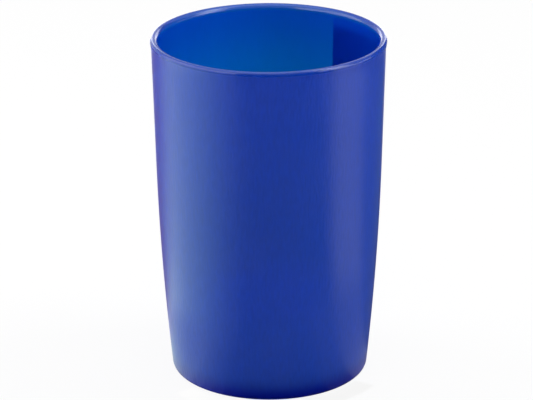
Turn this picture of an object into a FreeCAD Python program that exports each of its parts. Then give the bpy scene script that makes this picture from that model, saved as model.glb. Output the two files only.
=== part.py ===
"""Bathroom tumbler: one moulded plastic cup with a polished lip, on a standing ring.

The cup is round about +Z. The origin is the centre of the standing ring, on the surface that it rests on.
Lengths are in millimetres and angles in degrees.
"""

import FreeCAD, Part
import math
import os

# Outer wall
rim_diameter = 75.0  # across the lip, the widest place
height = 112.0  # from the standing ring to the top of the lip
base_diameter = 63.4  # where the outer wall would meet the base plane if its corner were sharp
straight_wall_from = 70.0  # the wall is straight above this height and curves in below it
wall_draft = 1.45  # lean of the straight wall
base_corner_radius = 2.0

# Wall and floor
wall_thickness = 2.15  # measured along the radius
floor_thickness = 2.5  # between the inside floor and the recess under the cup
floor_corner_radius = 4.0  # inside, where the wall runs into the floor

# Polished lip
lip_step = 0.28  # how far the lip stands proud of the satin wall
lip_step_rise = 2.0  # height of the gentle slope under the lip
lip_side_height = 0.4  # upright side of the lip, below its outer rounded edge
lip_outer_round_share = 0.36  # radius of the outer rounded edge, as a share of the lip's width
lip_inner_round_share = 0.62  # radius of the inner rounded edge, as a share of the lip's width

# Underside
ring_width = 3.0  # flat of the standing ring
recess_depth = 1.0
recess_draft = 30.0  # lean of the recess wall
gate_diameter = 4.0  # mark left where the mould was filled
gate_height = 0.4

# Modelling allowances
overrun = 1.0  # how far a cutting tool reaches past the face that it cuts
same_length = 1e-3  # two lengths closer than this are the same
full_turn = 360.0
cubic_mm_per_ml = 1000.0

# Worked out from the sizes above
rim_radius = rim_diameter / 2
base_radius = base_diameter / 2
wall_top_radius = rim_radius - lip_step
lip_width = wall_thickness + lip_step
lip_outer_radius = lip_outer_round_share * lip_width
lip_inner_radius = lip_inner_round_share * lip_width
lip_low = height - lip_outer_radius - lip_side_height
floor_height = recess_depth + floor_thickness
recess_radius = base_radius - base_corner_radius - ring_width


def point(radius, z):
    """A point of the half section, in the plane y = 0."""
    return FreeCAD.Vector(radius, 0, z)


def straight_wall_radius(z):
    """Outer radius on the straight stretch of the wall, or on that stretch carried on upwards."""
    return wall_top_radius - math.tan(math.radians(wall_draft)) * (height - z)


def heel_circle():
    """Radius and centre of the arc that leaves the straight wall along its line and ends at the base."""
    draft = math.radians(wall_draft)
    start = point(straight_wall_radius(straight_wall_from), straight_wall_from)
    inwards = point(-math.cos(draft), math.sin(draft))
    climb = start - point(base_radius, 0)
    radius = -climb.dot(climb) / (2 * inwards.dot(climb))
    return radius, start + inwards * radius


def heel_radius(z):
    """Outer radius on the curved lower stretch of the wall."""
    radius, centre = heel_circle()
    rise = z - centre.z
    reach = math.sqrt(radius * radius - rise * rise)
    return centre.x + math.copysign(reach, radius)


def wall_edges(z_low, z_high, inset):
    """The wall's edges in the half section from z_low to z_high, moved inwards by inset."""
    z_middle = (z_low + straight_wall_from) / 2
    low = point(heel_radius(z_low) - inset, z_low)
    middle = point(heel_radius(z_middle) - inset, z_middle)
    bend = point(straight_wall_radius(straight_wall_from) - inset, straight_wall_from)
    high = point(straight_wall_radius(z_high) - inset, z_high)
    return [Part.Arc(low, middle, bend).toShape(), Part.makeLine(bend, high)]


def lines(*points):
    """Straight edges from each point to the next."""
    return [Part.makeLine(a, b) for a, b in zip(points, points[1:])]


def turned(edges):
    """The solid that a closed half section sweeps in one turn about +Z."""
    face = Part.Face(Part.Wire(edges))
    return face.revolve(FreeCAD.Vector(0, 0, 0), FreeCAD.Vector(0, 0, 1), full_turn)


def ring_edges(shape, radius, z):
    """The circles of a shape about +Z with that radius and height."""

    def fits(edge):
        curve = edge.Curve
        if not isinstance(curve, Part.Circle):
            return False
        return abs(curve.Radius - radius) < same_length and abs(curve.Center.z - z) < same_length

    return [edge for edge in shape.Edges if fits(edge)]


def outer_body():
    """The cup before it is hollowed: base corner, curved heel, straight wall and proud lip."""
    step_low = lip_low - lip_step_rise
    edges = lines(point(0, height), point(0, 0), point(base_radius, 0))
    edges += wall_edges(0, step_low, 0)
    edges += lines(
        point(straight_wall_radius(step_low), step_low),
        point(rim_radius, lip_low),
        point(rim_radius, height),
        point(0, height),
    )
    body = turned(edges)
    return body.makeFillet(base_corner_radius, ring_edges(body, base_radius, 0))


def inside_space():
    """The space inside the cup: the outer wall moved in by its thickness, from the floor to past the lip."""
    top = height + overrun
    floor_radius = heel_radius(floor_height) - wall_thickness
    mouth_radius = straight_wall_radius(top) - wall_thickness
    edges = lines(point(0, top), point(0, floor_height), point(floor_radius, floor_height))
    edges += wall_edges(floor_height, top, wall_thickness)
    edges += lines(point(mouth_radius, top), point(0, top))
    space = turned(edges)
    return space.makeFillet(floor_corner_radius, ring_edges(space, floor_radius, floor_height))


def base_recess():
    """The shallow hollow under the cup, which leaves only the standing ring on the surface."""
    narrowing = (recess_depth + overrun) * math.tan(math.radians(recess_draft))
    widening = overrun * math.tan(math.radians(recess_draft))
    return turned(
        lines(
            point(0, -overrun),
            point(recess_radius + widening, -overrun),
            point(recess_radius + widening - narrowing, recess_depth),
            point(0, recess_depth),
            point(0, -overrun),
        )
    )


def gate_mark():
    """The low round mark in the middle of the recess, rooted in the floor above it."""
    mark = Part.makeCylinder(gate_diameter / 2, gate_height + floor_thickness / 2)
    mark.translate(point(0, recess_depth - gate_height))
    return mark


def rounded_lip(cup):
    """The cup with the outer and the inner edge of its lip rounded."""
    mouth_radius = wall_top_radius - wall_thickness
    cup = cup.makeFillet(lip_outer_radius, ring_edges(cup, rim_radius, height))
    return cup.makeFillet(lip_inner_radius, ring_edges(cup, mouth_radius, height))


def cup_body():
    """The whole moulding, as one solid."""
    cup = outer_body().cut(inside_space()).cut(base_recess()).fuse(gate_mark())
    return rounded_lip(cup.removeSplitter()).Solids[0]


os.makedirs("parts", exist_ok=True)
cup = cup_body()
cup.exportStep("parts/cup_body.step")
filled = inside_space().common(Part.makeCylinder(rim_diameter, height))
print(f"cup_body: valid {cup.isValid()}, {cup.Volume / cubic_mm_per_ml:.1f} ml of plastic")
print(f"it holds {filled.Volume / cubic_mm_per_ml:.0f} ml to the brim")
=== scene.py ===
# %% [markdown]
# # A bathroom tumbler
#
# The object is a plain plastic cup, moulded in one shot. Its outside is satin, because that side of the
# mould was given a fine grain. The lip and the inside are polished.
#
# This lesson turns the cup from a half section, gives each zone of the mould its own finish, and lights
# it as a small thing on white is lit in a studio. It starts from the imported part, whose box gives the
# sizes.

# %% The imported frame
import bmesh
import bpy
import math
from mathutils import Matrix, Vector


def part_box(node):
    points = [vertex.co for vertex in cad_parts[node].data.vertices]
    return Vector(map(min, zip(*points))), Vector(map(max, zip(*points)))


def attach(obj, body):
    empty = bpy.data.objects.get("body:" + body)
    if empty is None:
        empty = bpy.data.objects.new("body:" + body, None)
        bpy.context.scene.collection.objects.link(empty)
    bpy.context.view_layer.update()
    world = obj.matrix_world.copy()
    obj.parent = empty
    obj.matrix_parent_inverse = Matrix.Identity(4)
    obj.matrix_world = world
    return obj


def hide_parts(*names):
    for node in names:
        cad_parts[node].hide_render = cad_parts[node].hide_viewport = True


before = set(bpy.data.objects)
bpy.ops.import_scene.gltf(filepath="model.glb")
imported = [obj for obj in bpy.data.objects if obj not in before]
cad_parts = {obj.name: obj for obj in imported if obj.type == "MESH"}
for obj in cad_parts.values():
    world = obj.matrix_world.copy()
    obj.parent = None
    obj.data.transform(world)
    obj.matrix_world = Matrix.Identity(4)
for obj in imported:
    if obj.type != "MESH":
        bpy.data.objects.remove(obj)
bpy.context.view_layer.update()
cup_low, cup_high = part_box("cup_body")
print("nodes of the part:", list(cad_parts))
print("the cup's box, in metres:", [round(v, 4) for v in (*cup_low, *cup_high)])

# %% [markdown]
# ## Sizes
#
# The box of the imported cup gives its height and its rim. The other sizes are those of the moulding, in
# metres. The wall could be a list of radii. One formula is shorter and has no kinks: the wall is straight
# above the bend, and below it an arc carries on from the straight line and ends at the base.

# %% Sizes of the moulding
height = cup_high.z
rim_radius = cup_high.x
base_radius = 0.0317
bend_height = 0.070
wall_draft = math.radians(1.45)
wall_thickness = 0.00215
floor_height = 0.0035
lip_step = 0.00028


def straight_radius(z):
    return rim_radius - lip_step - math.tan(wall_draft) * (height - z)


def wall_radius(z):
    """Outer radius of the satin wall at a height."""
    if z >= bend_height:
        return straight_radius(z)
    bend = Vector((straight_radius(bend_height), bend_height))
    inwards = Vector((-math.cos(wall_draft), math.sin(wall_draft)))
    climb = bend - Vector((base_radius, 0))
    arc_radius = -climb.length_squared / (2 * inwards.dot(climb))
    centre = bend + inwards * arc_radius
    return centre.x + math.sqrt(arc_radius**2 - (z - centre.y) ** 2)


print("outer radius in mm at the base, half way up and at the top:",
      [round(1000 * wall_radius(z), 2) for z in (0, height / 2, height)])

# %% [markdown]
# ## A pen for the half section
#
# A turned shape needs only half of its section. It could be typed in as a long list of points. Here a pen
# draws it instead: extruding the last vertex draws a straight line, and spinning it round a centre draws
# an arc.

# %% The pen


def section_point(radius, z):
    return Vector((radius, 0, z))


def draw_line(mesh, tip, end, pieces=1):
    """Extrudes the tip to end in equal pieces."""
    start = tip.co.copy()
    for piece in range(1, pieces + 1):
        tip = bmesh.ops.extrude_vert_indiv(mesh, verts=[tip])["verts"][0]
        tip.co = start.lerp(end, piece / pieces)
    return tip


def draw_corner(mesh, tip, corner, beyond, radius, steps=8, pieces=1):
    """Draws towards a corner and rounds it, so that the pen then points to the place beyond."""
    arrive = (corner - tip.co).normalized()
    leave = (beyond - corner).normalized()
    turn = arrive.angle(leave)
    tip = draw_line(mesh, tip, corner - arrive * radius * math.tan(turn / 2), pieces)
    centre = corner + (leave - arrive).normalized() * radius / math.cos(turn / 2)
    arc = bmesh.ops.spin(mesh, geom=[tip], cent=centre, axis=arrive.cross(leave), angle=turn, steps=steps)
    return arc["geom_last"][0]


def draw_wall(mesh, tip, z_end, inset, rows):
    """Follows the wall to a height, moved in by inset."""
    z_start = tip.co.z
    for row in range(1, rows + 1):
        z = z_start + (z_end - z_start) * row / rows
        tip = draw_line(mesh, tip, section_point(wall_radius(z) - inset, z))
    return tip


trial = bmesh.new()
trial_start = trial.verts.new(section_point(0, 0))
draw_corner(trial, trial_start, section_point(1, 0), section_point(1, 1), radius=0.5)
print("a trial corner takes", len(trial.verts), "points")
trial.free()

# %% [markdown]
# ## Satin stroke
#
# The section is drawn in three strokes, one for each finish. The first is the satin skin: the underside
# with the mark where the mould was filled, the recess, the standing ring and the outer wall up to the
# lip. Every corner is rounded, because a moulding has no sharp edges, and a rounded edge is what catches
# the light.

# %% Underside and outer wall
ring_width = 0.003
base_round = 0.002
recess_depth = 0.001
recess_draft = math.radians(30)
gate_radius = 0.002
gate_height = 0.0004
edge_round = 0.00015
lip_width = wall_thickness + lip_step
lip_outer_round = 0.36 * lip_width
lip_side_height = 0.0004
lip_slope_height = 0.002

recess_radius = base_radius - base_round - ring_width
recess_top = recess_radius - recess_depth * math.tan(recess_draft)
gate_low = recess_depth - gate_height
lip_low = height - lip_outer_round - lip_side_height
satin_top = lip_low - lip_slope_height


def draw_satin(mesh):
    gate_edge = section_point(gate_radius, gate_low)
    gate_foot = section_point(gate_radius, recess_depth)
    recess_edge = section_point(recess_top, recess_depth)
    ring_inner = section_point(recess_radius, 0)
    ring_outer = section_point(base_radius, 0)
    up_the_wall = section_point(wall_radius(base_round), base_round)
    tip = mesh.verts.new(section_point(0, gate_low))
    tip = draw_corner(mesh, tip, gate_edge, gate_foot, edge_round, steps=4)
    tip = draw_corner(mesh, tip, gate_foot, recess_edge, edge_round / 2, steps=4)
    tip = draw_corner(mesh, tip, recess_edge, ring_inner, edge_round, steps=4, pieces=6)
    tip = draw_corner(mesh, tip, ring_inner, ring_outer, edge_round, steps=4)
    tip = draw_corner(mesh, tip, ring_outer, up_the_wall, base_round, pieces=3)
    tip = draw_wall(mesh, tip, satin_top, 0, rows=40)
    draw_line(mesh, tip, section_point(rim_radius, lip_low), pieces=6)


print(f"the satin ends {1000 * (height - satin_top):.1f} mm under the top of the lip")

# %% [markdown]
# ## Polished strokes
#
# The lip stands a little proud of the satin. Its outer edge is tight, so that the mould closes cleanly on
# it, and its inner edge is wide and soft to drink from. The inside follows the wall at its thickness and
# runs into the floor in a large rounding. A bevel of a finished solid could round the lip too, but two
# radii side by side are easier to draw than to bevel.

# %% Lip and inside
floor_round = 0.004
lip_inner_round = 0.62 * lip_width
lip_inside_low = height - 1.2 * lip_inner_round
mouth_radius = straight_radius(height) - wall_thickness


def lip_inside_end():
    return section_point(straight_radius(lip_inside_low) - wall_thickness, lip_inside_low)


def draw_lip(mesh):
    lip_corner = section_point(rim_radius, height)
    mouth_corner = section_point(mouth_radius, height)
    tip = mesh.verts.new(section_point(rim_radius, lip_low))
    tip = draw_corner(mesh, tip, lip_corner, mouth_corner, lip_outer_round, steps=14)
    tip = draw_corner(mesh, tip, mouth_corner, lip_inside_end(), lip_inner_round, steps=18)
    draw_line(mesh, tip, lip_inside_end(), pieces=2)


def draw_inside(mesh):
    floor_corner = section_point(wall_radius(floor_height) - wall_thickness, floor_height)
    floor_middle = section_point(0, floor_height)
    tip = mesh.verts.new(lip_inside_end())
    tip = draw_wall(mesh, tip, floor_height + 2 * floor_round, wall_thickness, rows=36)
    tip = draw_corner(mesh, tip, floor_corner, floor_middle, floor_round, steps=10)
    draw_line(mesh, tip, floor_middle, pieces=8)


print(f"lip radii: {1000 * lip_outer_round:.2f} mm outside, {1000 * lip_inner_round:.2f} mm inside")

# %% [markdown]
# ## Turning the cup
#
# Each stroke is spun once round the axis. The strokes meet in shared rings and all end on the axis, so
# one merge of doubles welds the rings and closes the poles. Only then are the normals worked out, when
# the shell is whole. A Screw modifier would turn the section as well, but it could not give each stroke
# its own material.

# %% Spin and weld
turn_steps = 192
weld_distance = 1e-6


def turn_stroke(mesh, draw, finish):
    before = set(mesh.faces)
    draw(mesh)
    loose = [v for v in mesh.verts if not v.link_faces]
    lines = list({e for v in loose for e in v.link_edges})
    bmesh.ops.spin(mesh, geom=loose + lines, cent=(0, 0, 0), axis=(0, 0, 1), angle=math.tau,
                   steps=turn_steps, use_merge=True)
    for face in set(mesh.faces) - before:
        face.material_index = finish
        face.smooth = True


shell = bmesh.new()
for finish, draw in enumerate((draw_satin, draw_lip, draw_inside)):
    turn_stroke(shell, draw, finish)
bmesh.ops.remove_doubles(shell, verts=shell.verts, dist=weld_distance)
bmesh.ops.recalc_face_normals(shell, faces=shell.faces)
open_edges = sum(1 for edge in shell.edges if len(edge.link_faces) != 2)
plastic_ml = shell.calc_volume() * 1e6
print(f"turned cup: {len(shell.faces)} faces, {open_edges} open edges, {plastic_ml:.1f} ml of plastic")

# %% [markdown]
# ## The piece
#
# The turned shell becomes one object at the origin, with its place in its mesh. The part has a single
# body, so the cup rides on the root, and the one node of the imported part is hidden in its place.

# %% The cup as a piece
cup_mesh = bpy.data.meshes.new("tumbler_cup")
shell.to_mesh(cup_mesh)
shell.free()
cup = bpy.data.objects.new("tumbler_cup", cup_mesh)
bpy.context.scene.collection.objects.link(cup)
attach(cup, "root")
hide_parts("cup_body")
print("piece:", cup.name, "with", len(cup_mesh.polygons), "faces")

# %% [markdown]
# ## Finishes
#
# All of the cup is one tinted plastic that lets some light through. What differs is the skin that the
# mould gave it. Each finish is a Principled shader of that plastic, and noise on Object coordinates gives
# it its detail, so that the detail stays with the cup and needs no unwrapping.
#
# The first helpers add a node with its settings, make the plastic, and read a noise that can be drawn out
# upwards.

# %% Plastic and noise
plastic_ior = 1.5


def add_node(tree, kind, values=None, **options):
    """Adds a node, with the values of its free sockets and its options."""
    node = tree.nodes.new(kind)
    for option, setting in options.items():
        setattr(node, option, setting)
    for socket, value in (values or {}).items():
        node.inputs[socket].default_value = value
    return node


def new_plastic(name, transmission):
    """The clear plastic, before its tint and its skin. Returns the material and its shader."""
    material = bpy.data.materials.new(name)
    material.use_nodes = True
    shader = material.node_tree.nodes["Principled BSDF"]
    shader.inputs["IOR"].default_value = plastic_ior
    shader.inputs["Transmission Weight"].default_value = transmission
    return material, shader


def object_noise(tree, size, stretch_up=1):
    """Noise with features of a size in metres, drawn out upwards by a factor."""
    place = add_node(tree, "ShaderNodeTexCoord")
    shape = add_node(tree, "ShaderNodeMapping", {"Scale": (1, 1, 1 / stretch_up)})
    noise = add_node(tree, "ShaderNodeTexNoise", {"Scale": 1 / size})
    tree.links.new(place.outputs["Object"], shape.inputs["Vector"])
    tree.links.new(shape.outputs["Vector"], noise.inputs["Vector"])
    return noise.outputs["Fac"]


print("index of refraction of the plastic:", plastic_ior)

# %% [markdown]
# ## What the noise does
#
# A moulded skin varies in three ways. Its gloss drifts where the mould is worn, its tint is cloudy where
# the colour was not quite mixed, and it has a relief. Each gets a helper. A relief is given as a depth in
# metres and stays a bump, because it is far finer than a mesh should be.

# %% Gloss, tint and relief
# Nearly all of a noise lies between these two values.
noise_low = 0.3
noise_high = 0.7


def vary_gloss(tree, source, shader, low, high):
    """Sends a noise to the roughness, spread between two values."""
    spread = add_node(tree, "ShaderNodeMapRange", {"From Min": noise_low, "From Max": noise_high})
    spread.inputs["To Min"].default_value = low
    spread.inputs["To Max"].default_value = high
    tree.links.new(source, spread.inputs["Value"])
    tree.links.new(spread.outputs["Result"], shader.inputs["Roughness"])


def tint(tree, source, shader, blue, share):
    """Sends a noise to the colour, which drifts by a share to both sides of a blue."""
    drift = add_node(tree, "ShaderNodeMix", data_type="RGBA")
    drift.inputs["A"].default_value = (*[(1 - share) * c for c in blue], 1)
    drift.inputs["B"].default_value = (*[(1 + share) * c for c in blue], 1)
    tree.links.new(source, drift.inputs["Factor"])
    tree.links.new(drift.outputs["Result"], shader.inputs["Base Color"])


def emboss(tree, source, shader, depth):
    """Adds a relief of a depth in metres to the shader, over the relief that it has."""
    relief = add_node(tree, "ShaderNodeBump", {"Strength": 1, "Distance": depth})
    tree.links.new(source, relief.inputs["Height"])
    for link in shader.inputs["Normal"].links:
        tree.links.new(link.from_socket, relief.inputs["Normal"])
    tree.links.new(relief.outputs["Normal"], shader.inputs["Normal"])


print("the gloss follows the noise from", noise_low, "to", noise_high)

# %% [markdown]
# ## Satin skin
#
# The outside took the fine grain of the mould. The plastic flowed up the wall as the mould filled, so the
# grain is drawn out into short upright streaks, in the tint and in the relief, with a finer even grain
# over them. Low down, where the wall runs into the thick base and stands on the paper, the tint drifts
# to a darker blue: painted shade at the foot, with some of the deeper look of the thick plastic.
#
# The roughness is never under 0.28, on purpose. Under about 0.27 the denoiser takes a skin for a mirror,
# and a roughness that drifts across that limit shows as patches.

# %% Satin finish
satin_blue = (0.002, 0.075, 0.62)
# Painted shade: the tint turns to this darker blue at the foot of the wall, where it stands on the paper.
base_shade_blue = (0.0, 0.007, 0.52)
base_shade_height = 0.008
streak_size = 0.0007
streak_stretch = 5
streak_depth = 0.00007
grain_size = 0.00025
grain_depth = 0.000004


def paint_base_shade(tree, shader):
    """Paints shade into the tint: it falls to a darker blue over the lowest stretch of the wall."""
    place = add_node(tree, "ShaderNodeTexCoord")
    axes = add_node(tree, "ShaderNodeSeparateXYZ")
    rise = add_node(tree, "ShaderNodeMapRange", {"From Max": base_shade_height}, interpolation_type="SMOOTHSTEP")
    shade_mix = add_node(tree, "ShaderNodeMix", data_type="RGBA")
    shade_mix.inputs["A"].default_value = (*base_shade_blue, 1)
    tree.links.new(place.outputs["Object"], axes.inputs["Vector"])
    tree.links.new(axes.outputs["Z"], rise.inputs["Value"])
    tree.links.new(rise.outputs["Result"], shade_mix.inputs["Factor"])
    tree.links.new(shader.inputs["Base Color"].links[0].from_socket, shade_mix.inputs["B"])
    tree.links.new(shade_mix.outputs["Result"], shader.inputs["Base Color"])


def satin_skin():
    material, shader = new_plastic("satin_plastic", transmission=0.5)
    tree = material.node_tree
    vary_gloss(tree, object_noise(tree, size=0.012), shader, low=0.28, high=0.32)
    tint(tree, object_noise(tree, streak_size, streak_stretch), shader, satin_blue, share=0.2)
    # Painted shade at the foot of the wall, over the grain's tint.
    paint_base_shade(tree, shader)
    emboss(tree, object_noise(tree, streak_size, streak_stretch), shader, streak_depth)
    emboss(tree, object_noise(tree, grain_size), shader, grain_depth)
    return material


cup.data.materials.append(satin_skin())
print("finish of the outside:", cup.data.materials[-1].name)

# %% [markdown]
# ## Polished skins
#
# The lip and the inside come from polished steel. The lip is the glossiest to the eye, because its
# roundings gather the lights into lines, and handling has given it a faint uneven gloss. The core that
# shaped the inside was drawn out upwards, and it left very fine upright marks. The inside lets more light
# through than the rest.

# %% Lip and inside finishes
lip_blue = (0.004, 0.08, 0.6)
inside_blue = (0.001, 0.042, 0.66)
cloud_share = 0.04
polish_depth = 0.000002


def polished_lip():
    material, shader = new_plastic("polished_lip", transmission=0.5)
    tree = material.node_tree
    vary_gloss(tree, object_noise(tree, size=0.006), shader, low=0.12, high=0.17)
    tint(tree, object_noise(tree, size=0.003), shader, lip_blue, cloud_share)
    emboss(tree, object_noise(tree, size=0.0006), shader, polish_depth)
    return material


def polished_inside():
    material, shader = new_plastic("polished_inside", transmission=0.65)
    tree = material.node_tree
    vary_gloss(tree, object_noise(tree, size=0.01), shader, low=0.08, high=0.14)
    tint(tree, object_noise(tree, size=0.004, stretch_up=3), shader, inside_blue, cloud_share)
    emboss(tree, object_noise(tree, size=0.001, stretch_up=20), shader, polish_depth)
    return material


cup.data.materials.append(polished_lip())
cup.data.materials.append(polished_inside())
print("finishes:", [material.name for material in cup.data.materials])

# %% [markdown]
# ## White paper
#
# The cup stands on white paper that runs out of sight. Brighter lamps could burn the paper out to white,
# but they would wash out the cup too. Instead the paper glows at exactly white for rays that come from
# the camera, straight, in a reflection or through the plastic. A small share stays plain lit paper, and
# that share holds the shadow.

# %% Paper


def new_piece_of_set(name, sheet, material):
    mesh = bpy.data.meshes.new(name)
    sheet.to_mesh(mesh)
    sheet.free()
    piece = bpy.data.objects.new(name, mesh)
    piece.data.materials.append(material)
    bpy.context.scene.collection.objects.link(piece)
    return piece


def seen_directly(tree):
    """1 for what the camera sees straight, in a reflection or through the plastic, else 0."""
    path = add_node(tree, "ShaderNodeLightPath")
    straight_or_mirrored = add_node(tree, "ShaderNodeMath", operation="MAXIMUM")
    seen = add_node(tree, "ShaderNodeMath", operation="MAXIMUM")
    tree.links.new(path.outputs["Is Camera Ray"], straight_or_mirrored.inputs[0])
    tree.links.new(path.outputs["Is Glossy Ray"], straight_or_mirrored.inputs[1])
    tree.links.new(straight_or_mirrored.outputs["Value"], seen.inputs[0])
    tree.links.new(path.outputs["Is Transmission Ray"], seen.inputs[1])
    return seen.outputs["Value"]


paper_white = (0.9, 0.9, 0.9)


def white_paper(shadow_share):
    material = bpy.data.materials.new("white_paper")
    material.use_nodes = True
    tree = material.node_tree
    tree.nodes.clear()
    output = add_node(tree, "ShaderNodeOutputMaterial")
    paper = add_node(tree, "ShaderNodeBsdfDiffuse", {"Color": (*paper_white, 1)})
    glow = add_node(tree, "ShaderNodeEmission", {"Strength": 1})
    share = add_node(tree, "ShaderNodeMath", {1: 1 - shadow_share}, operation="MULTIPLY")
    blend = add_node(tree, "ShaderNodeMixShader")
    tree.links.new(seen_directly(tree), share.inputs[0])
    tree.links.new(share.outputs["Value"], blend.inputs["Fac"])
    tree.links.new(paper.outputs["BSDF"], blend.inputs[1])
    tree.links.new(glow.outputs["Emission"], blend.inputs[2])
    tree.links.new(blend.outputs["Shader"], output.inputs["Surface"])
    return material


floor_half = 3
floor_sheet = bmesh.new()
bmesh.ops.create_grid(floor_sheet, x_segments=1, y_segments=1, size=floor_half)
floor = new_piece_of_set("floor", floor_sheet, white_paper(shadow_share=0.1))
print("paper:", [round(v, 2) for v in floor.dimensions], "metres")

# %% [markdown]
# ## White surroundings
#
# Above the paper is the world. It is white where the camera sees it, and a little less than white as a
# fill light, so that the shadow side of the cup keeps its colour and the lamps still shape it.

# %% World
fill_level = 0.8


def white_studio():
    world = bpy.data.worlds.new("white_studio")
    world.use_nodes = True
    tree = world.node_tree
    tree.nodes.clear()
    output = add_node(tree, "ShaderNodeOutputWorld")
    white = add_node(tree, "ShaderNodeBackground", {"Strength": 1})
    fill = add_node(tree, "ShaderNodeBackground", {"Strength": fill_level})
    blend = add_node(tree, "ShaderNodeMixShader")
    tree.links.new(seen_directly(tree), blend.inputs["Fac"])
    tree.links.new(fill.outputs["Background"], blend.inputs[1])
    tree.links.new(white.outputs["Background"], blend.inputs[2])
    tree.links.new(blend.outputs["Shader"], output.inputs["Surface"])
    return world


bpy.context.scene.world = white_studio()
print("fill light at", fill_level)

# %% [markdown]
# ## Softboxes
#
# Two large soft lamps give the cup its roundness, one at each side. A lamp's power grows with its area,
# so the helper takes the brightness of the cloth instead and works out the power.

# %% Soft light
cup_middle = Vector((0, 0, height / 2))


def softbox(name, place, width, tall, brightness):
    lamp = bpy.data.lights.new(name, "AREA")
    lamp.shape = "RECTANGLE"
    lamp.size = width
    lamp.size_y = tall
    lamp.energy = brightness * math.pi * width * tall
    holder = bpy.data.objects.new(name, lamp)
    holder.location = place
    holder.rotation_euler = (cup_middle - holder.location).to_track_quat("-Z", "Y").to_euler()
    bpy.context.scene.collection.objects.link(holder)
    print(f"{name}: {lamp.energy:.1f} W")


softbox("left_softbox", place=(-0.60, 0.15, 0.40), width=0.40, tall=0.50, brightness=4)
softbox("right_softbox", place=(0.50, 0.0, 0.60), width=0.30, tall=0.55, brightness=5)

# %% [markdown]
# ## Cards
#
# A glossy thing looks like what it mirrors. Photographers set white and black cards round it, out of the
# picture, to draw its highlights and its dark edges. These cards do the same. Each is met only by the
# rays it is meant for, most of them by reflections alone, so they shape the gloss and leave the light on
# the cup as it is.
#
# Cards are strokes of the pen again, swept round the cup. Angles are in degrees from the front and grow
# to the left.

# %% Cards round the cup
card_distance = 0.5
card_steps = 32
ray_kinds = ("camera", "diffuse", "glossy", "transmission", "shadow")


def grey(level):
    return (level, level, level)


def card(name, sheet, tone, rays):
    """A card of a tone that only the named kinds of rays can meet."""
    material = bpy.data.materials.new(name)
    material.use_nodes = True
    tree = material.node_tree
    tree.nodes.clear()
    output = add_node(tree, "ShaderNodeOutputMaterial")
    glow = add_node(tree, "ShaderNodeEmission", {"Color": (*tone, 1), "Strength": 1})
    tree.links.new(glow.outputs["Emission"], output.inputs["Surface"])
    piece = new_piece_of_set(name, sheet, material)
    for kind in ray_kinds:
        setattr(piece, "visible_" + kind, kind in rays)
    return piece


def swept(sheet, first, last):
    """Turns a stroke about the cup's axis from one angle to another."""
    turn = Matrix.Rotation(math.radians(-90 - first), 3, "Z")
    bmesh.ops.rotate(sheet, verts=sheet.verts, cent=(0, 0, 0), matrix=turn)
    bmesh.ops.spin(sheet, geom=sheet.verts[:] + sheet.edges[:], cent=(0, 0, 0), axis=(0, 0, -1),
                   angle=math.radians(last - first), steps=card_steps)
    return sheet


print("the cards reach", card_distance, "metres from the cup's axis")

# %% [markdown]
# ## Cards on the paper
#
# The camera looks down, so the upright satin wall mirrors the paper in front of it and at its sides.
# Black in front keeps the middle of the cup deep blue. To the left a fan of cards that grow lighter
# towards the side makes the broad soft highlight, and to the right a gap of bare white paper makes the
# narrow one. Nearer to the cup the tones are calmer, because the lowest rows of the wall see only that
# strip.

# %% Cards that lie
near_base = 0.032
near_left = 0.07
near_front = 0.1
above_paper = 0.0003
# Each row has the first and last angle and the tone.
left_fan = (
    (30, 45, (0.28, 0.4, 0.36)),
    (45, 60, (0.66, 1.02, 0.72)),
    (60, 75, (1.15, 1.65, 1.1)),
    (75, 90, (1.45, 1.95, 1.4)),
    (90, 114, (1.65, 2.05, 1.6)),
    (114, 128, (0.95, 0.95, 0.95)),
)
left_near_fan = (
    (30, 38, (0.15, 0.19, 0.17)),
    (38, 46, (0.35, 0.43, 0.37)),
    (46, 56, (0.65, 0.8, 0.68)),
    (56, 110, (1.0, 1.2, 1.05)),
    (110, 128, (0.95, 0.95, 1.0)),
)


def lay_card(name, first, last, tone, near=near_base, far=card_distance, rays=("glossy",)):
    """A card flat on the paper, round the cup from one angle to another."""
    sheet = bmesh.new()
    tip = sheet.verts.new(section_point(near, above_paper))
    draw_line(sheet, tip, section_point(far, above_paper))
    return card(name, swept(sheet, first, last), tone, rays)


lay_card("front_flag", -62, 30, grey(0), near=near_front)
lay_card("front_near_flag", -38, 30, grey(0), far=near_front)
for first, last, tone in left_fan:
    lay_card(f"left_card_{first}", first, last, tone, near=near_left)
for first, last, tone in left_near_fan:
    lay_card(f"left_near_card_{first}", first, last, tone, far=near_left)
lay_card("left_back_card", 128, 158, (0.35, 0.2, 0.35))
lay_card("right_near_card", -62, -38, grey(0.15), far=near_front)
lay_card("right_side_card", -82, -62, grey(0.4), far=near_front)
lay_card("right_far_card", -100, -82, grey(0.34), far=near_front)
lay_card("right_edge_card", -100, -80, grey(0.75), near=near_front)
lay_card("right_back_flag", -158, -100, grey(0.12))
print("cards to the left of the cup:", len(left_fan) + len(left_near_fan))

# %% [markdown]
# ## Cards that stand
#
# The rounded lip mirrors all that stands round the cup. Dark screens in front and at the back leave its
# middle quiet. Bright ones at the left and at the right run along the far side of the lip as two long
# highlights, and two bright strips at the back light up its ends.

# %% Screens
card_height = 0.9
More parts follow.
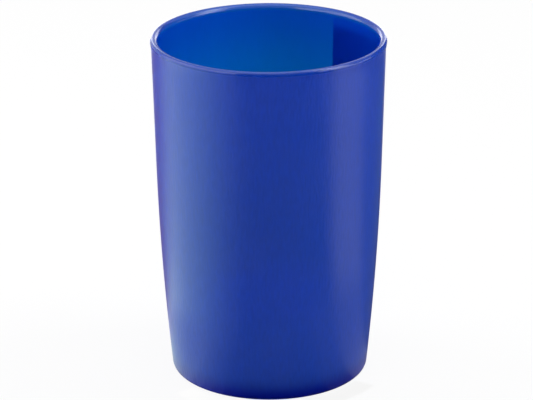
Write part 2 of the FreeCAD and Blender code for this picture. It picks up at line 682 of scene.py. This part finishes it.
# Each row has a name, the first and last angle, the lower and upper edge in metres, and the brightness.
screens = (
    ("front_screen", -48, 30, 0, 0.3, 0),
    ("front_upper_screen", -48, 30, 0.3, card_height, 0.6),
    ("left_low_screen", 30, 118, 0, 0.13, 1),
    ("left_screen", 30, 118, 0.13, 0.65, 2.8),
    ("left_upper_screen", 30, 118, 0.65, card_height, 1),
    ("left_back_screen", 118, 150, 0, card_height, 0.9),
    ("back_left_edge_screen", 150, 157, 0, 0.32, 1),
    ("back_left_screen", 157, 172, 0, 0.32, 3.2),
    ("back_low_left_screen", 172, 178, 0, 0.22, 1.1),
    ("back_low_screen", 178, 182, 0, 0.22, 0.15),
    ("back_low_right_screen", 182, 188, 0, 0.22, 1.1),
    ("back_screen", 172, 188, 0.22, 0.32, 1),
    ("back_right_screen", 188, 203, 0, 0.32, 2.8),
    ("back_upper_screen", 150, 203, 0.32, card_height, 0.6),
    ("right_back_screen", 203, 250, 0, 0.4, 0.12),
    ("right_low_screen", 250, 277, 0.05, 0.17, 3.5),
    ("right_middle_screen", 250, 277, 0.17, 0.4, 0.12),
    ("right_back_upper_screen", 203, 277, 0.4, card_height, 0.8),
    ("right_screen", 277, 300, 0.1, 0.6, 5),
    ("right_front_screen", 300, 312, 0.1, 0.6, 2.5),
    ("right_upper_screen", 277, 312, 0.6, card_height, 1),
)


def stand_card(name, first, last, low, high, tone):
    """A card that stands round the cup from one angle to another, between two heights."""
    sheet = bmesh.new()
    tip = sheet.verts.new(section_point(card_distance, low))
    draw_line(sheet, tip, section_point(card_distance, high))
    card(name, swept(sheet, first, last), tone, ("glossy",))


for name, first, last, low, high, level in screens:
    stand_card(name, first, last, low, high, grey(level))
print("screens:", len(screens))

# %% [markdown]
# ## Cards above and below
#
# A round card hangs over the cup, a little to the back, and lights the line along the top of the lip.
# Under the cup, and in a strip in front of it, dark cards keep the paper's white from glowing through the
# base.

# %% Overhead card and shades
overhead_back = 0.25
shade_reach = 0.039


def disc_card(name, radius, place, tone, rays):
    """A round card that lies flat at a place."""
    sheet = bmesh.new()
    bmesh.ops.create_circle(sheet, cap_ends=True, segments=64, radius=radius)
    bmesh.ops.translate(sheet, verts=sheet.verts, vec=place)
    card(name, sheet, tone, rays)


disc_card("overhead_card", card_distance, (0, overhead_back, card_height), grey(2), ("glossy",))
disc_card("shade_under_cup", near_base, (0, 0, above_paper), grey(0.02), ("glossy", "transmission"))
front_shade = lay_card("front_shade", -60, 50, grey(1), far=shade_reach, rays=("transmission", "diffuse"))
print("shade in front of the base reaches", shade_reach, "metres from the axis")

# %% [markdown]
# ## Light through the wall
#
# The far wall, seen over the lip, glows where light comes through it, and a part of it at the right is
# deep blue in the shade. Two cards behind the wall, met only by rays through the plastic, stand for that.
# The light one is teal in the upper half, turns plainer under the lip and fades out towards the base. A
# strip of cloth with a printed fade would do this on a real set, and a tone that drifts along an axis of
# the cup is the same thing.

# %% Cards behind the wall
card_gap = 0.0005


def grade(piece, axis, start, end, first, last):
    """Multiplies a card's tone by one that drifts along an axis, from first at start to last at end."""
    tree = piece.data.materials[0].node_tree
    glow = tree.nodes["Emission"].inputs["Color"]
    place = add_node(tree, "ShaderNodeTexCoord")
    axes = add_node(tree, "ShaderNodeSeparateXYZ")
    reach = {"From Min": start, "From Max": end}
    way = add_node(tree, "ShaderNodeMapRange", reach, interpolation_type="SMOOTHSTEP")
    drift = add_node(tree, "ShaderNodeMix", data_type="RGBA")
    drift.inputs["A"].default_value = (*first, 1)
    drift.inputs["B"].default_value = (*last, 1)
    tree.links.new(place.outputs["Object"], axes.inputs["Vector"])
    tree.links.new(axes.outputs[axis], way.inputs["Value"])
    tree.links.new(way.outputs["Result"], drift.inputs["Factor"])
    product = add_node(tree, "ShaderNodeMix", {"Factor": 1}, data_type="RGBA", blend_type="MULTIPLY")
    product.inputs["A"].default_value = glow.default_value
    for link in glow.links:
        tree.links.new(link.from_socket, product.inputs["A"])
    tree.links.new(drift.outputs["Result"], product.inputs["B"])
    tree.links.new(product.outputs["Result"], glow)


def wrap_card(name, first, last, low, high, gap):
    """A card that hugs the outside of the wall, met only by light through the plastic."""
    sheet = bmesh.new()
    tip = sheet.verts.new(section_point(wall_radius(low) + gap, low))
    draw_wall(sheet, tip, high, -gap, rows=12)
    return card(name, swept(sheet, first, last), grey(1), ("transmission",))


grade(front_shade, "X", start=-0.028, end=-0.004, first=grey(0.8), last=grey(0))
shaded = wrap_card("shaded_card", -90, -144.7, low=0.002, high=0.109, gap=card_gap)
grade(shaded, "Z", start=0.1045, end=0.108, first=grey(0.1), last=(0.3, 1.2, 0.75))
teal = wrap_card("teal_card", -80, -280, low=0.02, high=0.1115, gap=2 * card_gap)
grade(teal, "Z", start=0.03, end=0.08, first=grey(0.15), last=grey(1))
grade(teal, "Z", start=0.085, end=0.112, first=(0.6, 4.2, 0.95), last=(0.6, 2.1, 0.82))
grade(teal, "X", start=-0.02, end=0.02, first=(1, 1.08, 1.15), last=(1, 0.92, 0.88))
print("cards behind the wall:", shaded.name, teal.name)

# %% [markdown]
# ## Camera
#
# The photograph was taken from a little under a metre, looking down by about 21 degrees, with a long
# lens. The focal length is kept in pixels of the 533 pixel wide image, because that is how it was
# measured, and it becomes millimetres on the camera's sensor. The camera is placed by what it looks at:
# back off from there, tilt, roll.

# %% Camera
image_width = 533
focal_pixels = 2778
sensor_width = 36
aim = Vector((-0.00086, 0, 0.0568))
distance = 0.8965
look_down = math.radians(20.7)
roll = math.radians(-0.227)

lens = bpy.data.cameras.new("camera")
lens.sensor_width = sensor_width
lens.lens = sensor_width * focal_pixels / image_width
camera = bpy.data.objects.new("camera", lens)
tilt = Matrix.Rotation(math.radians(90) - look_down, 4, "X")
back_off = Matrix.Translation((0, 0, distance))
camera.matrix_world = Matrix.Translation(aim) @ tilt @ Matrix.Rotation(roll, 4, "Z") @ back_off
bpy.context.scene.collection.objects.link(camera)
bpy.context.scene.camera = camera
bpy.context.scene.view_settings.view_transform = "Standard"
print(f"camera at {[round(v, 3) for v in camera.matrix_world.translation]}, lens {lens.lens:.0f} mm")
